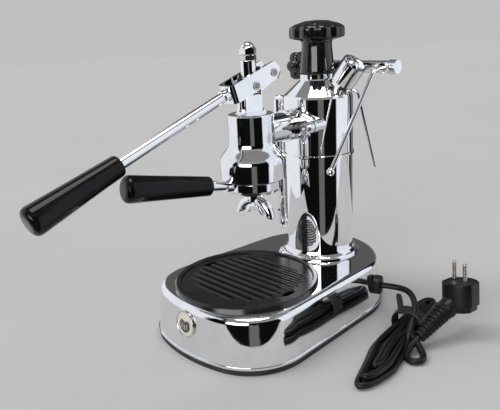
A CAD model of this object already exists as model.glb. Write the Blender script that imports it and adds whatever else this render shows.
import math

import bmesh
import bpy
from mathutils import Matrix, Vector


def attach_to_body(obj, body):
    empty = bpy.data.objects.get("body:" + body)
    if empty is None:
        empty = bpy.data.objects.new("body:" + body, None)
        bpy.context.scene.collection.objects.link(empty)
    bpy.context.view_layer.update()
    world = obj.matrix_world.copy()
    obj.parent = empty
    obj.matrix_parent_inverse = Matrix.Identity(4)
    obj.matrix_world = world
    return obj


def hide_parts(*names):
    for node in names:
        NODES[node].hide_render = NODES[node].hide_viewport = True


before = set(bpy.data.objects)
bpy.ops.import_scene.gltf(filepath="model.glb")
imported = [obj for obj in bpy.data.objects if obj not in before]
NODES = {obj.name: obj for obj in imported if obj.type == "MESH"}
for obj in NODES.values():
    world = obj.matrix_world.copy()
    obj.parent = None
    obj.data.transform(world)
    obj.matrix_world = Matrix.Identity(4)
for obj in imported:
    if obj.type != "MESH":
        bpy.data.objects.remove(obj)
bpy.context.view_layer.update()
MM = 0.001
UP = Vector((0, 0, 1))

# Lengths below are millimetres in the row frame, unless a line says otherwise.
VIEW_AZ = math.radians(47.1)
BOILER_Y = 75.2
GROUP_Y = -32
BASE_FRONT_Y = -140.5
TRIM_HEIGHT = 6
WALL_HEIGHT, WALL_LEAN = 51, 5.5
FULCRUM_Y, FULCRUM_Z = -6.2, 276.5
BADGE_Z = 38
CORD_RADIUS = 3.3
PLUG_RADIUS = 18.6


# ---------------------------------------------------------------- camera
def make_camera():
    """Camera in metres, from its heading, elevation, roll, target and distance."""
    az, el, roll = VIEW_AZ, math.radians(16.76), math.radians(-3.01)
    target, distance = Vector((0, -0.0397, 0.13995)), 0.63689
    back = Vector((math.sin(az) * math.cos(el), -math.cos(az) * math.cos(el), math.sin(el)))
    right = Vector((math.cos(az), math.sin(az), 0))
    up = back.cross(right)
    r = right * math.cos(roll) + up * math.sin(roll)
    u = up * math.cos(roll) - right * math.sin(roll)
    spot = target + back * distance
    data = bpy.data.cameras.new("camera")
    data.lens = 42.8
    data.sensor_width = 36
    data.sensor_fit = "HORIZONTAL"
    data.clip_start = 0.02
    camera = bpy.data.objects.new("camera", data)
    bpy.context.scene.collection.objects.link(camera)
    turn = Matrix((r, u, back)).transposed().to_4x4()
    camera.matrix_world = Matrix.Translation(spot) @ turn
    bpy.context.scene.camera = camera


make_camera()


# ------------------------------------------------------------- materials
class Nodes:
    """Small helper that wires one material's nodes."""

    def __init__(self, name):
        self.mat = bpy.data.materials.new(name)
        self.mat.use_nodes = True
        self.tree = self.mat.node_tree
        self.bsdf = self.tree.nodes["Principled BSDF"]
        coord = self.tree.nodes.new("ShaderNodeTexCoord")
        self.coord = coord.outputs["Object"]

    def new(self, kind, **values):
        node = self.tree.nodes.new(kind)
        for key, value in values.items():
            if hasattr(node, key):
                setattr(node, key, value)
            else:
                node.inputs[key.replace("_", " ")].default_value = value
        return node

    def link(self, a, b):
        self.tree.links.new(a, b)

    def stretched(self, scale):
        mapping = self.new("ShaderNodeMapping")
        mapping.inputs["Scale"].default_value = scale
        self.link(self.coord, mapping.inputs["Vector"])
        return mapping.outputs["Vector"]

    def noise(self, scale, detail=4.0, stretch=None):
        node = self.new("ShaderNodeTexNoise", Scale=scale, Detail=detail, Roughness=0.55)
        source = self.stretched(stretch) if stretch else self.coord
        self.link(source, node.inputs["Vector"])
        return node.outputs["Fac"]

    def ramp(self, fac, low, high):
        """Spread the middle of a factor over a value range."""
        node = self.new("ShaderNodeMapRange")
        node.inputs["From Min"].default_value = 0.3
        node.inputs["From Max"].default_value = 0.7
        node.inputs["To Min"].default_value = low
        node.inputs["To Max"].default_value = high
        self.link(fac, node.inputs["Value"])
        return node.outputs["Result"]

    def colours(self, fac, first, second):
        """Spread the middle of a factor between two colours."""
        node = self.new("ShaderNodeValToRGB")
        for stop, place, colour in zip(node.color_ramp.elements, (0.35, 0.65), (first, second)):
            stop.position = place
            stop.color = (*colour, 1)
        self.link(fac, node.inputs["Fac"])
        return node.outputs["Color"]

    def bump(self, height, strength, distance):
        node = self.new("ShaderNodeBump", Strength=strength, Distance=distance)
        self.link(height, node.inputs["Height"])
        self.link(node.outputs["Normal"], self.bsdf.inputs["Normal"])


METAL_GRAIN_DEPTH = 0.00002
MOULD_GRAIN_DEPTH = 0.00006


def metal(name, first, second, low, high, grain=900.0, stretch=None, bump=0.02, wear=60.0):
    """Metal between two colours and two roughnesses, with a fine grain."""
    m = Nodes(name)
    m.bsdf.inputs["Metallic"].default_value = 1.0
    m.link(m.colours(m.noise(wear, 6.0), first, second), m.bsdf.inputs["Base Color"])
    m.link(m.ramp(m.noise(wear * 2.3, 7.0, stretch), low, high), m.bsdf.inputs["Roughness"])
    m.bump(m.noise(grain, 3.0, stretch), bump, METAL_GRAIN_DEPTH)
    return m.mat


def moulded(name, first, second, low, high, grain, bump, coat=0.0, shine=0.5):
    """Plastic, rubber or enamel between two colours and two roughnesses."""
    m = Nodes(name)
    m.bsdf.inputs["Specular IOR Level"].default_value = shine
    m.bsdf.inputs["Coat Weight"].default_value = coat
    m.bsdf.inputs["Coat Roughness"].default_value = 0.05
    m.link(m.colours(m.noise(45.0, 5.0), first, second), m.bsdf.inputs["Base Color"])
    m.link(m.ramp(m.noise(140.0, 5.0), low, high), m.bsdf.inputs["Roughness"])
    m.bump(m.noise(grain, 4.0), bump, MOULD_GRAIN_DEPTH)
    return m.mat


def glass_material():
    m = Nodes("boiler_glass")
    m.bsdf.inputs["Transmission Weight"].default_value = 1.0
    m.bsdf.inputs["IOR"].default_value = 1.5
    m.bsdf.inputs["Base Color"].default_value = (0.93, 0.98, 0.97, 1)
    m.link(m.ramp(m.noise(300.0, 3.0), 0.0, 0.05), m.bsdf.inputs["Roughness"])
    return m.mat


CHROME = metal("chrome", (0.86, 0.87, 0.885), (0.92, 0.925, 0.93), 0.025, 0.05)
CHROME_SHELL = metal("chrome_shell", (0.86, 0.87, 0.885), (0.92, 0.925, 0.93), 0.03, 0.065)
CHROME_CAST = metal("chrome_cast", (0.82, 0.83, 0.845), (0.9, 0.905, 0.91), 0.035, 0.085,
                    grain=260.0, bump=0.06)
NICKEL = metal("nickel", (0.66, 0.62, 0.57), (0.76, 0.72, 0.66), 0.16, 0.28,
               grain=700.0, bump=0.08)
SATIN = metal("satin_steel", (0.55, 0.555, 0.56), (0.66, 0.665, 0.67), 0.2, 0.34,
              grain=500.0, stretch=(1, 1, 12), bump=0.12)
ZINC = metal("zinc", (0.45, 0.46, 0.47), (0.58, 0.59, 0.58), 0.3, 0.5,
             grain=240.0, bump=0.2, wear=90.0)
BRASS = metal("brass", (0.62, 0.44, 0.2), (0.75, 0.56, 0.29), 0.16, 0.3,
              grain=600.0, bump=0.08)
BRONZE = metal("bronze_pin", (0.3, 0.23, 0.17), (0.42, 0.32, 0.23), 0.18, 0.3,
               grain=600.0, bump=0.06)
COPPER = metal("heater_sheath", (0.55, 0.3, 0.2), (0.42, 0.3, 0.26), 0.3, 0.5)
ENAMEL = moulded("enamel", (0.035, 0.03, 0.028), (0.055, 0.05, 0.045), 0.12, 0.2,
                 grain=500.0, bump=0.05, coat=0.5)
CREAM = moulded("cream_enamel", (0.7, 0.66, 0.56), (0.78, 0.74, 0.65), 0.1, 0.18,
                grain=500.0, bump=0.04, coat=0.5)
BAKELITE = moulded("bakelite", (0.004, 0.004, 0.0042), (0.008, 0.008, 0.0085), 0.03, 0.07,
                   grain=300.0, bump=0.012, coat=0.3)
GRIP_BLACK = moulded("grip_black", (0.003, 0.003, 0.0032), (0.006, 0.006, 0.0064), 0.08, 0.14,
                     grain=300.0, bump=0.012, shine=0.22)
TRAY_BLACK = moulded("tray_black", (0.008, 0.008, 0.0085), (0.014, 0.014, 0.015), 0.16, 0.24,
                     grain=1500.0, bump=0.02, coat=0.2)
GRILLE_BLACK = moulded("grille_black", (0.01, 0.01, 0.0105), (0.017, 0.017, 0.018), 0.17, 0.24,
                       grain=900.0, bump=0.01)
RUBBER = moulded("rubber", (0.012, 0.012, 0.012), (0.026, 0.026, 0.026), 0.4, 0.6,
                 grain=900.0, bump=0.35)
PVC = moulded("pvc", (0.003, 0.003, 0.0032), (0.007, 0.007, 0.0074), 0.3, 0.42,
              grain=700.0, bump=0.12, shine=0.32)
SEAL = moulded("seal", (0.012, 0.012, 0.012), (0.024, 0.023, 0.022), 0.45, 0.65,
               grain=800.0, bump=0.3)
SWITCH = moulded("switch_black", (0.012, 0.012, 0.012), (0.02, 0.02, 0.02), 0.22, 0.34,
                 grain=900.0, bump=0.18)
LAMP = moulded("lamp_red", (0.35, 0.02, 0.012), (0.5, 0.035, 0.02), 0.1, 0.2,
               grain=400.0, bump=0.06, coat=0.5)
GLASS = glass_material()


# -------------------------------------------------------------- geometry
def rounded(points, radius, steps=5):
    """Round the inner corners of an open (r, z) chain."""
    out = [Vector(points[0])]
    for before, point, after in zip(points, points[1:], points[2:]):
        before, point, after = Vector(before), Vector(point), Vector(after)
        reach = min(radius, (before - point).length * 0.45, (after - point).length * 0.45)
        a = point + (before - point).normalized() * reach
        b = point + (after - point).normalized() * reach
        for k in range(steps + 1):
            t = k / steps
            out.append(a * (1 - t) ** 2 + point * (2 * t * (1 - t)) + b * t * t)
    out.append(Vector(points[-1]))
    return out


def basis(origin, axis):
    """Matrix from a local frame, millimetres along +Z, to the row frame."""
    turn = Vector(axis).normalized().to_track_quat("Z", "Y").to_matrix().to_4x4()
    return Matrix.Translation(Vector(origin) * MM) @ turn @ Matrix.Scale(MM, 4)


def upright(x, y):
    return Matrix.Translation(Vector((x, y, 0)) * MM) @ Matrix.Scale(MM, 4)


def rings(bm, loops, place, closed=False):
    """Skin a list of equal loops; a loop of one point closes the end."""
    rows = [[bm.verts.new(place @ Vector(p)) for p in loop] for loop in loops]
    pairs = list(zip(rows, rows[1:]))
    if closed:
        pairs.append((rows[-1], rows[0]))
    for low, high in pairs:
        count = max(len(low), len(high))
        for k in range(count):
            n = (k + 1) % count
            if len(low) == 1:
                bm.faces.new((low[0], high[n], high[k]))
            elif len(high) == 1:
                bm.faces.new((low[k], low[n], high[0]))
            else:
                bm.faces.new((low[k], low[n], high[n], high[k]))


def lathe(bm, profile, place, steps, closed, shape):
    """Turn (r, z) points; shape(angle, r, z) may vary the radius."""
    loops = []
    for r, z in profile:
        if r < 1e-6:
            loops.append([(0, 0, z)])
            continue
        loop = []
        for k in range(steps):
            a = 2 * math.pi * k / steps
            q = shape(a, r, z) if shape else r
            loop.append((q * math.cos(a), q * math.sin(a), z))
        loops.append(loop)
    rings(bm, loops, place, closed)


def turned(bm, place, points, radius, steps, shape=None, fine=5):
    """Solid of revolution with its edges rounded."""
    lathe(bm, rounded(points, radius, fine), place, steps, False, shape)


def plate(bm, outline, place, z0, z1, bevel):
    """Flat plate with a small rounded edge all round."""
    def inset(amount):
        count = len(outline)
        out = []
        for k in range(count):
            a, p, b = outline[k - 1], outline[k], outline[(k + 1) % count]
            d = (b - a).normalized()
            out.append(p + Vector((-d.y, d.x)) * amount)
        return out

    for z in (z0, z1):
        ring = [bm.verts.new(place @ Vector((p.x, p.y, z))) for p in inset(bevel)]
        edges = [bm.edges.new((ring[k - 1], ring[k])) for k in range(len(ring))]
        bmesh.ops.triangle_fill(bm, edges=edges, use_beauty=True)
    rows = []
    for z, amount in ((z0, bevel), (z0 + 0.3 * bevel, 0.3 * bevel), (z0 + bevel, 0),
                      (z1 - bevel, 0), (z1 - 0.3 * bevel, 0.3 * bevel), (z1, bevel)):
        rows.append([(p.x, p.y, z) for p in inset(amount)])
    rings(bm, rows, place)
    bmesh.ops.remove_doubles(bm, verts=bm.verts, dist=1e-6)


def hex_radius(across):
    """Radius of a hexagon by angle, for lathe."""
    def radius(a, r, z):
        a = (a + math.pi / 6) % (math.pi / 3) - math.pi / 6
        return min(r, across / 2 / math.cos(a))
    return radius


def nut(bm, place, across, height, bore):
    """Hexagon nut with chamfered corners."""
    corner = across / math.sqrt(3)
    flat = across / 2
    points = [(bore, 0), (flat * 0.96, 0), (corner, height * 0.09),
              (corner, height * 0.9), (flat * 0.96, height), (bore, height)]
    lathe(bm, rounded(points, 0.35, 3), place, 144, True, hex_radius(across))


def attach(obj, body, stands_for):
    """Ride a piece on its body, and replace the CAD nodes that it stands for."""
    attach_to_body(obj, body)
    if stands_for:
        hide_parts(*stands_for)
    return obj


def finish_piece(name, bm, body, material, stands_for=(), angle=32):
    """Turn a bmesh into a smooth-shaded piece, sharp where it turns by more than the angle."""
    bmesh.ops.recalc_face_normals(bm, faces=bm.faces)
    mesh = bpy.data.meshes.new(name)
    bm.to_mesh(mesh)
    bm.free()
    for polygon in mesh.polygons:
        polygon.use_smooth = True
    mesh.set_sharp_from_angle(angle=math.radians(angle))
    obj = bpy.data.objects.new(name, mesh)
    bpy.context.scene.collection.objects.link(obj)
    mesh.materials.append(material)
    return attach(obj, body, stands_for)


def curve_piece(name, points, radius, body, material, stands_for, resolution):
    """Round bar along one NURBS spline."""
    data = bpy.data.curves.new(name, "CURVE")
    data.dimensions = "3D"
    data.bevel_depth = radius * MM
    data.bevel_resolution = resolution
    data.resolution_u = 12
    data.use_fill_caps = True
    spline = data.splines.new("NURBS")
    spline.points.add(len(points) - 1)
    for target, p in zip(spline.points, points):
        target.co = (p[0] * MM, p[1] * MM, p[2] * MM, 1)
    spline.order_u = 3
    spline.use_endpoint_u = True
    data.materials.append(material)
    obj = bpy.data.objects.new(name, data)
    bpy.context.scene.collection.objects.link(obj)
    return attach(obj, body, stands_for)


# ------------------------------------------------------------ plug and tie
def minimal(origin, axis):
    """Frame at a point whose Z is turned onto the axis by the shortest way."""
    turn = UP.rotation_difference(Vector(axis).normalized()).to_matrix().to_4x4()
    return Matrix.Translation(Vector(origin) * MM) @ turn @ Matrix.Scale(MM, 4)


def flats(half):
    """Round section with two flats across local X."""
    def radius(a, r, z):
        side = abs(math.cos(a))
        return min(r, half * r / PLUG_RADIUS / side) if side > 1e-6 else r
    return radius


def plug():
    """Round two-pin plug with its pins up, and a ribbed relief that leans down to the lead."""
    top = Vector((177.2, 89.2, 58))
    back = Vector((-0.731, 0.682, 0))
    lean = math.radians(10)
    axis = UP * math.cos(lean) + back * math.sin(lean)
    bm = bmesh.new()
    body = [(0, -31), (15.0, -31), (16.2, -29.6), (16.4, -25.6), (18.4, -24.6),
            (PLUG_RADIUS, -23.4), (PLUG_RADIUS, -1.2), (17.6, 0), (16.2, 0), (15.6, -0.7),
            (0, -0.7)]
    turned(bm, minimal(top, axis), body, 0.9, 128, flats(16.8))
    tail = Vector((165.5, 31, 12.5))
    neck = Vector((175.5, 75, 36))
    along = (tail - neck).normalized()
    reach = (tail - neck).length
    start = neck - along * reach * 0.12
    end = reach * 1.12
    sleeve_end, sleeve_r, rib_pitch = 17, 9.6, 4.6
    profile = [(0, 0), (10.2, 0), (10.5, 1.0), (10.5, 15.0), (sleeve_r, sleeve_end)]
    z = 19.4
    while z < end - 5:
        r = sleeve_r - 3.2 * (z - sleeve_end) / (end - sleeve_end)
        profile += [(r, z), (r - 1.5, z + 0.5), (r - 1.5, z + 1.7), (r - 0.2, z + 2.2)]
        z += rib_pitch
    profile += [(6.4, end - 0.8), (5.8, end), (3.35, end), (3.35, end - 3)]
    turned(bm, basis(start, along), profile, 0.5, 72, None, 3)
    return finish_piece("plug", bm, "frame", PVC, ("plug_body",), 42)


def strap():
    """Rubber strap wound round the hank, its end left standing."""
    bm = bmesh.new()
    along = Vector((-0.158, 0.987, 0))
    across = Vector((0.987, 0.158, 0))
    centre = Vector((140, 53, 13.4))
    half, width, height = 8.0, 15.9, 12.6
    loops = []
    steps = 72
    for k in range(steps):
        a = 2 * math.pi * k / steps
        c, s = math.cos(a), math.sin(a)
        grow = 1.0 / (abs(c) ** 2.5 + abs(s) ** 2.5) ** 0.4
        outline = []
        for offset, thick in ((-half, 0.0), (-half + 0.5, 0.75), (-2.0, 0.95), (3.0, 0.8),
                              (half - 0.5, 0.75), (half, 0.0), (half - 0.5, -0.5),
                              (-half + 0.5, -0.5)):
            r = 1 + 0.02 * math.sin(3 * a + offset * 0.3)
            point = (centre + across * (c * (width * grow * r + thick))
                     + UP * (s * (height * grow * r + thick)) + along * offset)
            outline.append(point)
        loops.append(outline)
    rings(bm, loops, Matrix.Scale(MM, 4), True)
    tail = Matrix.Translation(Vector((131, 52, 21.5)) * MM)
    tail = tail @ Matrix.Rotation(math.radians(128), 4, "Z")
    tail = tail @ Matrix.Rotation(math.radians(-8), 4, "Y") @ Matrix.Scale(MM, 4)
    rows = []
    tail_start, tail_end = -3, 34
    for k in range(19):
        t = k / 18
        x, lift = tail_start + (tail_end - tail_start) * t, 1.6 * math.sin(math.pi * t)
        w = 3.2 * (1 - 0.35 * max(0, t - 0.85) / 0.15)
        rows.append([(x, -w, lift - 0.5), (x, -w, lift + 0.4), (x, -w + 0.5, lift + 0.8),
                     (x, w - 0.5, lift + 0.8), (x, w, lift + 0.4), (x, w, lift - 0.5),
                     (x, w - 0.5, lift - 0.8), (x, -w + 0.5, lift - 0.8)])
    rings(bm, rows, tail)
    flat = tail.inverted()
    bm.faces.new([v for v in bm.verts if abs((flat @ v.co).x - tail_start) < 1e-3][::-1])
    bm.faces.new([v for v in bm.verts if abs((flat @ v.co).x - tail_end) < 1e-3])
    return finish_piece("strap", bm, "frame", RUBBER, ("cord_tie",), 40)


def gland():
    """Moulded relief on the side wall, waisted where the lead leaves it."""
    turn = math.radians(15)
    axis = Vector((math.cos(turn), math.sin(turn), 0))
    across = Vector((-math.sin(turn), math.cos(turn), 0))
    tip, root = Vector(LEAD_OUT[0]), -9.6
    bm = bmesh.new()
    loops = []
    for step, wide, high in ((root, 3.6, 3.6), (-9.5, 5.4, 9.8), (-8.9, 6.0, 10.7),
                             (-7.4, 6.2, 11.0), (-5.0, 5.9, 10.7), (-2.6, 6.1, 10.9),
                             (-1.2, 5.9, 10.6), (-0.4, 5.2, 9.8), (-0.1, 4.2, 8.6),
                             (-0.05, CORD_RADIUS, CORD_RADIUS)):
        loop = []
        for k in range(64):
            a = 2 * math.pi * k / 64
            c, s = math.cos(a), math.sin(a)
            bend = 2.0 if wide < 4 and high < 4 else 3.4
            r = (abs(c) ** bend + abs(s) ** bend) ** (-1 / bend)
            loop.append(tip + axis * step + across * (wide * c * r) + UP * (high * s * r))
        loops.append(loop)
    loops.append([p + axis * -4.0 for p in loops[-1]])
    loops.insert(0, [tip + axis * root])
    rings(bm, loops, Matrix.Scale(MM, 4))
    return finish_piece("relief", bm, "frame", PVC, ("cord_gland",), 38)


# ------------------------------------------------------------------ cord
LEAD_OUT = [
    (90.02, 76.12, 32.0),
    (107.41, 80.78, 33.5),
    (128.66, 75.09, 35.5),
    (143.76, 60.5, 26.5),
    (149.63, 42.43, 18.5),
]
# Place along the hank (y), its centre x and its half width.
HANK_LINE = [(-71, 162, 6.5), (-63, 163, 10), (-46, 163, 13), (-28, 159, 18), (-8, 151, 20),
             (15, 146, 18), (33, 143, 16), (45, 141, 14), (62, 138, 14.5), (78, 135, 15),
             (100, 131, 14), (114, 130, 11.5), (123, 130, 8), (128, 130, 5.5)]


def hank_at(y):
    """Centre x and half width of the hank at a place along it."""
    for (y0, x0, w0), (y1, x1, w1) in zip(HANK_LINE, HANK_LINE[1:]):
        if y <= y1:
            t = (y - y0) / (y1 - y0)
            return x0 + (x1 - x0) * t, w0 + (w1 - w0) * t
    return HANK_LINE[-1][1:]


def strand(y, side, spread, z):
    """Point on the right (1) or left (-1) run; the hank lies slightly askew."""
    x, half = hank_at(y)
    inset, askew = 3.4, 1.6
    return (x + side * (half - inset) * spread, y - side * askew * spread, z)


def cord_points():
    """Lead-out, then each turn: out to the front on the right, back on the left."""
    points = list(LEAD_OUT)
    # (front end, rear end, spread right, spread left, height at tie, height in the loops)
    turns = [
        (-67, 124, 0.98, 1.0, 5.2, 4.0),
        (-50, 108, 0.52, 0.3, 5.4, 4.2),
        (-60, 117, 0.75, 0.7, 12.4, 10.6),
        (-40, 100, 0.25, 0.05, 12.8, 11.2),
    ]
    for front, rear, right, left, tie, low in turns:
        for y, share in ((18, 0.4), (-6, 0.0), (-26, 0.0)):
            points.append(strand(y, 1, right, tie * share + low * (1 - share)))
        points.append(strand(front + 10, 1, right * 0.95, low))
        points.append(strand(front, 1, right * 0.45, low))
        points.append(strand(front, -1, left * 0.45, low + 0.5))
        points.append(strand(front + 10, -1, left * 0.95, low + 0.4))
        for y, share in ((-26, 0.0), (-6, 0.0), (18, 0.4), (45, 1.0), (66, 0.5)):
            points.append(strand(y, -1, left, tie * share + low * (1 - share)))
        points.append(strand(rear - 16, -1, left, low))
        points.append(strand(rear - 3, -1, left * 0.7, low))
        points.append(strand(rear, 1, 0.1, low))
        points.append(strand(rear - 3, 1, right * 0.7, low))
        points.append(strand(rear - 16, 1, right, low))
        for y, share in ((66, 0.5), (45, 1.0)):
            points.append(strand(y, 1, right, tie * share + low * (1 - share)))
    points += [(160, 29, 12), (171, 22, 8), (181, 15, 4.2), (184, 6, 3.8), (177, -1, 3.6),
               (168, 2, 4.0), (164, 14, 6.5), (165.5, 31, 12.5), (166.6, 36, 15.2)]
    return points


lead = curve_piece("power_lead", cord_points(), CORD_RADIUS, "frame", PVC,
                   ("power_cord", "cord_bundle"), 6)
plug()
strap()
gland()


# ------------------------------------------------------- moulded handles
def smooth_step(value):
    value = max(0.0, min(1.0, value))
    return value * value * (3 - 2 * value)


def lobes(count, depth, inner, outer):
    """Scalloped rim: full radius on the lobes, less between them."""
    def radius(a, r, z):
        wave = (0.5 - 0.5 * math.cos(count * a)) ** 1.7
        return r - depth * wave * smooth_step((r - inner) / (outer - inner))
    return radius


def boiler_cap():
    """Ten-lobed cap over the boiler's neck."""
    bm = bmesh.new()
    points = [(0, 269.5), (19.6, 269.5), (19.9, 271.0), (19.3, 275.2), (17.0, 297.0),
              (16.8, 302.4), (18.6, 304.8), (24.0, 305.6), (30.4, 307.4), (31.0, 309.0),
              (31.0, 317.4), (29.4, 319.4), (24.0, 322.2), (13.0, 325.4), (0, 326.3)]
    turned(bm, upright(0, BOILER_Y), points, 1.6, 280, lobes(10, 2.3, 20.5, 27.0))
    socket = [(0, 269.2), (17.2, 269.2), (17.2, 270.4), (0, 270.4)]
    turned(bm, upright(0, BOILER_Y), socket, 0.2, 96)
    finish_piece("boiler_cap", bm, "cap", BAKELITE, ("cap_knob",), 40)


def tap_knob():
    """Six-lobed knob of the steam tap, on the hidden left side."""
    bm = bmesh.new()
    place = basis((-60, 104, 274), (1, 0, 0))
    points = [(0, 0.8), (7.0, 0.8), (9.5, 0), (15.5, 0.6), (17.5, 3.0), (17.5, 10.0),
              (15.6, 12.6), (9.5, 13.2), (7.6, 14.4), (7.4, 19.0), (3.05, 19.0)]
    turned(bm, place, points, 1.5, 216, lobes(6, 3.3, 9.0, 14.5))
    finish_piece("tap_knob", bm, "tap", BAKELITE, ("steam_knob",), 40)


def direction(az, el):
    """Unit vector from a heading and an elevation in degrees."""
    a, b = math.radians(az), math.radians(el)
    return Vector((math.cos(a) * math.cos(b), math.sin(a) * math.cos(b), math.sin(b)))


LEVER_DIR = direction(-90, -19.5)
HOLDER_DIR = direction(-100, 8.8)
GRIP_NEAR, GRIP_FAR, GRIP_LENGTH = 10.0, 13.5, 93.8
LEVER_GRIP_AT, HOLDER_GRIP_AT = 138.5, 54.5


def lever_point(distance):
    """Point along the lever tube, measured from the fork's end wall."""
    a = math.radians(18.5)
    u, v = 57.5, 1.8
    start = Vector((0, FULCRUM_Y - u * math.cos(a) - v * math.sin(a),
                    FULCRUM_Z - u * math.sin(a) + v * math.cos(a)))
    return start + LEVER_DIR * distance


def grip(name, origin, axis, bore, body, stands_for):
    """Tapering handle with a rounded free end and a shallow inner shoulder."""
    near, far, length = GRIP_NEAR, GRIP_FAR, GRIP_LENGTH
    bm = bmesh.new()
    points = [(bore, 14.0), (bore, 0.6), (bore + 0.6, 0.0), (near - 1.4, 0.0), (near, 1.8),
              (near + (far - near) * 0.5, length * 0.5), (far, length - 5.2),
              (far - 1.3, length - 1.8), (far - 4.6, length), (0, length + 0.2)]
    turned(bm, basis(origin, axis), points, 3.0, 112, None, 7)
    finish_piece(name, bm, body, GRIP_BLACK, stands_for, 50)


def handles():
    grip("lever_handle", lever_point(LEVER_GRIP_AT), LEVER_DIR, 5.25, "lever", ("lever_grip",))
    holder = Vector((0, GROUP_Y, 161)) + HOLDER_DIR * HOLDER_GRIP_AT
    grip("holder_handle", holder, HOLDER_DIR, 5.05, "portafilter", ("pf_grip",))


# ----------------------------------------------------------------- spouts
def chute_loops(side, low):
    """Curved round chute, cut back on its inner side at the mouth, with a rolled lip."""
    start_x = side * 2.3
    reach, sweep = 17.2, math.radians(92)
    centre = Vector((start_x, 0, low - 15.9))
    loops = [[(start_x, 0, low + 1.3)]]
    inner = 4.3
    # (share of the sweep, radius), out along the chute and back inside its mouth
    stations = [(0.0, 4.9), (0.12, 5.3), (0.25, 5.4), (0.38, 5.4), (0.5, 5.4), (0.6, 5.4),
                (0.7, 5.35), (0.8, 5.3), (0.88, 5.3), (0.93, 5.45), (0.965, 5.6), (0.99, 5.5),
                (1.0, 5.1), (0.995, 4.7), (0.97, inner), (0.85, inner), (0.7, inner),
                (0.55, inner)]
    for share, radius in stations:
        angle = math.pi / 2 - sweep * share
        out = Vector((side * math.cos(angle), 0, math.sin(angle)))
        along = Vector((side * math.sin(angle), 0, -math.cos(angle)))
        slant = 4.2 * smooth_step((share - 0.45) / 0.5)
        loop = []
        for k in range(56):
            a = 2 * math.pi * k / 56
            offset = out * (radius * math.cos(a))
            offset = offset + Vector((0, radius * math.sin(a), 0))
            loop.append(centre + out * reach + offset + along * (slant * (math.cos(a) - 1) / 2))
        loops.append(loop)
    loops.append([centre + out * reach])
    return loops


def spout_pair():
    """Hexagon nut, arched web and two curved chutes under the filter holder."""
    place = Matrix.Scale(MM, 4) @ Matrix.Translation((0, GROUP_Y, 0))
    place = place @ Matrix.Rotation(math.radians(6), 4, "Z")
    low, arch_r = 142.5, 11
    bm = bmesh.new()
    nut(bm, place @ Matrix.Translation((0, 0, low)), 12.5, 9.8, 3.0)
    for side in (-1, 1):
        rings(bm, chute_loops(side, low), place)
    arch = [math.radians(137 - 94 * k / 20) for k in range(21)]
    outline = [Vector((-5, low + 2)), Vector((-12.5, low - 13))]
    outline += [Vector((arch_r * math.cos(a), low - 20.5 + arch_r * math.sin(a))) for a in arch]
    outline += [Vector((12.5, low - 13)), Vector((5, low + 2))]
    plate(bm, outline, place @ Matrix.Rotation(math.pi / 2, 4, "X"), -3.4, 3.4, 0.6)
    finish_piece("spout_pair", bm, "portafilter", CHROME, ("pf_spouts",), 35)


# ----------------------------------------------------------------- emblem
def emblem():
    """Round enamelled badge: nickel rim, pale ground, dark shield and bars."""
    lean = math.atan2(WALL_LEAN, WALL_HEIGHT)
    out = Vector((0, -math.cos(lean), math.sin(lean)))
    wall_y = BASE_FRONT_Y + WALL_LEAN * (BADGE_Z - TRIM_HEIGHT) / WALL_HEIGHT
    centre = Vector((0, wall_y, BADGE_Z))
    place = basis(centre - out * 0.6, out)
    bm = bmesh.new()
    ring = [(12.2, 0.3), (14.5, 0.3), (14.5, 1.6), (13.9, 2.6), (13.0, 2.6), (12.2, 1.8)]
    turned(bm, place, ring + ring[:1], 0.35, 120)
    finish_piece("emblem_rim", bm, "frame", NICKEL, ("badge",))
    bm = bmesh.new()
    turned(bm, place, [(0, 0.3), (12.25, 0.3), (12.25, 1.7), (6, 1.95), (0, 2.0)], 0.3, 120)
    finish_piece("emblem_ground", bm, "frame", CREAM)
    local = place.inverted().to_3x3() @ UP
    turn = Matrix.Rotation(math.atan2(-local.x, local.y), 4, "Z")
    face = place @ turn
    corners = ((-7.6, 1.6), (-8.2, -3.0), (-5.6, -7.2), (0, -9.4), (5.6, -7.2),
               (8.2, -3.0), (7.6, 1.6), (5.2, 4.4), (0, 2.4), (-5.2, 4.4))
    bm = bmesh.new()
    plate(bm, [Vector(p) for p in corners], face, 1.8, 2.35, 0.18)
    finish_piece("emblem_shield", bm, "frame", ENAMEL)
    bm = bmesh.new()
    for x, low, high in ((-3.6, -4.6, 0.2), (0, -6.4, -1.0), (3.6, -4.6, 0.2)):
        left, right = x - 0.8, x + 0.8
        bar = [Vector(p) for p in ((left, low), (right, low), (right, high), (left, high))]
        plate(bm, bar, face, 2.2, 2.55, 0.1)
    finish_piece("emblem_bars", bm, "frame", NICKEL)


boiler_cap()
tap_knob()
handles()
spout_pair()
emblem()


# ------------------------------------------- materials on the CAD pieces
FINISHES = {
    CHROME: ["boiler_lower", "boiler_upper", "boiler_collar", "safety_body", "safety_cap",
             "sight_fittings", "sight_guard", "valve_body", "valve_packing_nut", "steam_wand",
             "wand_nut", "vent_tube", "fork_post", "piston_rod", "rod_dome_nut", "lever_fork",
             "lever_tube", "pf_spouts"],
    CHROME_SHELL: ["base_shell"],
    CHROME_CAST: ["group_casting", "boiler_flange", "pf_body"],
    NICKEL: ["rod_lock_nut", "plug_pins"],
    SATIN: ["valve_spindle", "shower_screen", "flange_bolts", "filter_basket", "safety_spring",
            "pin_clips"],
    ZINC: ["bottom_plate", "plate_screws"],
    BRASS: ["boiler_nut", "cap_plug", "safety_stem", "guide_bush", "piston"],
    BRONZE: ["lever_pins"],
    COPPER: ["heating_element"],
    TRAY_BLACK: ["drip_tray"],
    GRILLE_BLACK: ["drip_grille"],
    RUBBER: ["base_trim", "group_gasket", "piston_seals"],
    SEAL: ["cap_seal", "flange_gasket"],
    SWITCH: ["switch_housing", "switch_rocker"],
    LAMP: ["pilot_lamp"],
    GLASS: ["sight_glass"],
}
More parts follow.
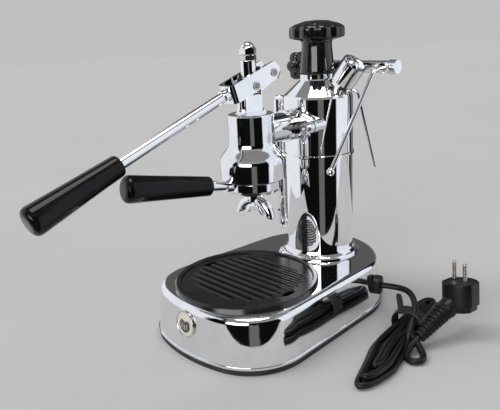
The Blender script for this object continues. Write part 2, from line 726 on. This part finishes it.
for material, names in FINISHES.items():
    for name in names:
        NODES[name].data.materials.clear()
        NODES[name].data.materials.append(material)


# ---------------------------------------------------------------- studio
def floor_material():
    m = Nodes("studio_floor")
    m.link(m.colours(m.noise(3.0, 2.0), (0.53, 0.53, 0.526), (0.545, 0.545, 0.541)),
           m.bsdf.inputs["Base Color"])
    m.link(m.ramp(m.noise(90.0, 4.0), 0.8, 0.9), m.bsdf.inputs["Roughness"])
    m.bsdf.inputs["Specular IOR Level"].default_value = 0.1
    return m.mat


def floor_piece(name, corners, material):
    """Flat sheet on the ground, given by (toward the viewer, to the viewer's right)."""
    toward = Vector((math.sin(VIEW_AZ), -math.cos(VIEW_AZ), 0))
    right = Vector((math.cos(VIEW_AZ), math.sin(VIEW_AZ), 0))
    bm = bmesh.new()
    bm.faces.new([bm.verts.new(toward * a + right * b) for a, b in corners])
    mesh = bpy.data.meshes.new(name)
    bm.to_mesh(mesh)
    bm.free()
    floor = bpy.data.objects.new(name, mesh)
    bpy.context.scene.collection.objects.link(floor)
    mesh.materials.append(material)
    return floor


def studio_floor():
    """A table that ends near the machine, in metres, and strips round it out to the backdrop.

    The strips are the same floor, but polished metal doesn't reflect them.
    """
    material = floor_material()
    front, back, left, right = 0.225, -0.34, -0.42, 1.2
    near, far, side = 6, -7, 6
    table = [(back, left), (front, left), (front, right), (back, right)]
    floor_piece("studio_table", table, material)
    strips = [
        ("front", [(front, -side), (near, -side), (near, side), (front, side)]),
        ("back", [(far, -side), (back, -side), (back, side), (far, side)]),
        ("left", [(back, -side), (front, -side), (front, left), (back, left)]),
        ("right", [(back, right), (front, right), (front, side), (back, side)]),
    ]
    for name, corners in strips:
        strip = floor_piece("studio_ground_" + name, corners, material)
        strip.visible_glossy = False


BASE_COLOUR = (0.3, 0.3, 0.31)
FILL_GREY = (0.52, 0.52, 0.53)
BACKDROP_GREY = (0.53, 0.53, 0.53)
# Azimuth from the viewer, half width, softness, lowest and highest elevation, radiance.
# A later row lies over the earlier ones.
PATCHES = [
    (180, 70, 10, -90, 6, (0.17, 0.17, 0.175)),
    (180, 70, 10, 6, 60, (0.1, 0.1, 0.1)),
    (-10, 64, 2, -90, 34, (0.004, 0.004, 0.004)),
    (2, 9, 1.5, -90, 3, (0.136, 0.136, 0.136)),
    (-30, 22, 1.5, 3, 30, (5.0, 5.0, 5.2)),
    (-118, 42, 3, -90, 48, (0.84, 0.86, 0.9)),
    (86, 31, 2.5, -90, 50, (0.84, 0.88, 0.95)),
    (125, 7, 2, -90, 60, (0.012, 0.012, 0.012)),
    (0, 180, 3, 50, 95, (0.236, 0.236, 0.236)),
    (0, 180, 2, 74, 95, (5.0, 4.9, 4.7)),
]


def world_light():
    """Light panels and dark gaps for reflections, even grey for diffuse light and the camera."""
    world = bpy.data.worlds.new("studio")
    bpy.context.scene.world = world
    world.use_nodes = True
    tree = world.node_tree
    nodes, links = tree.nodes, tree.links
    nodes.clear()
    out = nodes.new("ShaderNodeOutputWorld")
    shader = nodes.new("ShaderNodeBackground")
    links.new(shader.outputs[0], out.inputs["Surface"])
    coord = nodes.new("ShaderNodeTexCoord")
    split = nodes.new("ShaderNodeSeparateXYZ")
    links.new(coord.outputs["Generated"], split.inputs[0])

    def maths(op, a, b=None, c=None):
        node = nodes.new("ShaderNodeMath")
        node.operation = op
        for socket, value in zip(node.inputs, (a, b, c)):
            if isinstance(value, (int, float)):
                socket.default_value = value
            elif value is not None:
                links.new(value, socket)
        return node.outputs[0]

    def edge(value, degrees, soft):
        """0 below an angle and 1 above it, with a soft step between."""
        node = nodes.new("ShaderNodeMapRange")
        node.interpolation_type = "SMOOTHSTEP"
        node.inputs["From Min"].default_value = math.radians(degrees - soft)
        node.inputs["From Max"].default_value = math.radians(degrees + soft)
        links.new(value, node.inputs["Value"])
        return node.outputs["Result"]

    azimuth = maths("ARCTAN2", split.outputs["Y"], split.outputs["X"])
    height = maths("ARCSINE", split.outputs["Z"])
    view = VIEW_AZ - math.pi / 2

    def mixed(first, second, fac):
        node = nodes.new("ShaderNodeMix")
        node.data_type = "RGBA"
        for socket, value in ((node.inputs[6], first), (node.inputs[7], second)):
            if isinstance(value, tuple):
                socket.default_value = (*value, 1)
            else:
                links.new(value, socket)
        links.new(fac, node.inputs[0])
        return node.outputs[2]

    colour = BASE_COLOUR
    for centre, half, soft, low, high, radiance in PATCHES:
        turn = maths("SUBTRACT", azimuth, view + math.radians(centre))
        turn = maths("ABSOLUTE", maths("WRAP", turn, math.pi, -math.pi))
        inside = maths("SUBTRACT", 1.0, edge(turn, half, soft))
        below_top = maths("SUBTRACT", 1.0, edge(height, high, soft))
        band = maths("MULTIPLY", edge(height, low, soft), below_top)
        colour = mixed(colour, radiance, maths("MULTIPLY", inside, band))
    path = nodes.new("ShaderNodeLightPath")
    colour = mixed(colour, FILL_GREY, path.outputs["Is Diffuse Ray"])
    colour = mixed(colour, BACKDROP_GREY, path.outputs["Is Camera Ray"])
    links.new(colour, shader.inputs["Color"])


def sun_light():
    """Broad even light from high on the viewer's left."""
    data = bpy.data.lights.new("key", "SUN")
    data.energy = 1.0
    data.angle = math.radians(24)
    light = bpy.data.objects.new("key", data)
    bpy.context.scene.collection.objects.link(light)
    light.rotation_euler = Vector((0.62, 0.42, -1.25)).to_track_quat("-Z", "Y").to_euler()
    light.visible_glossy = False


studio_floor()
world_light()
sun_light()
bpy.context.scene.view_settings.view_transform = "Standard"
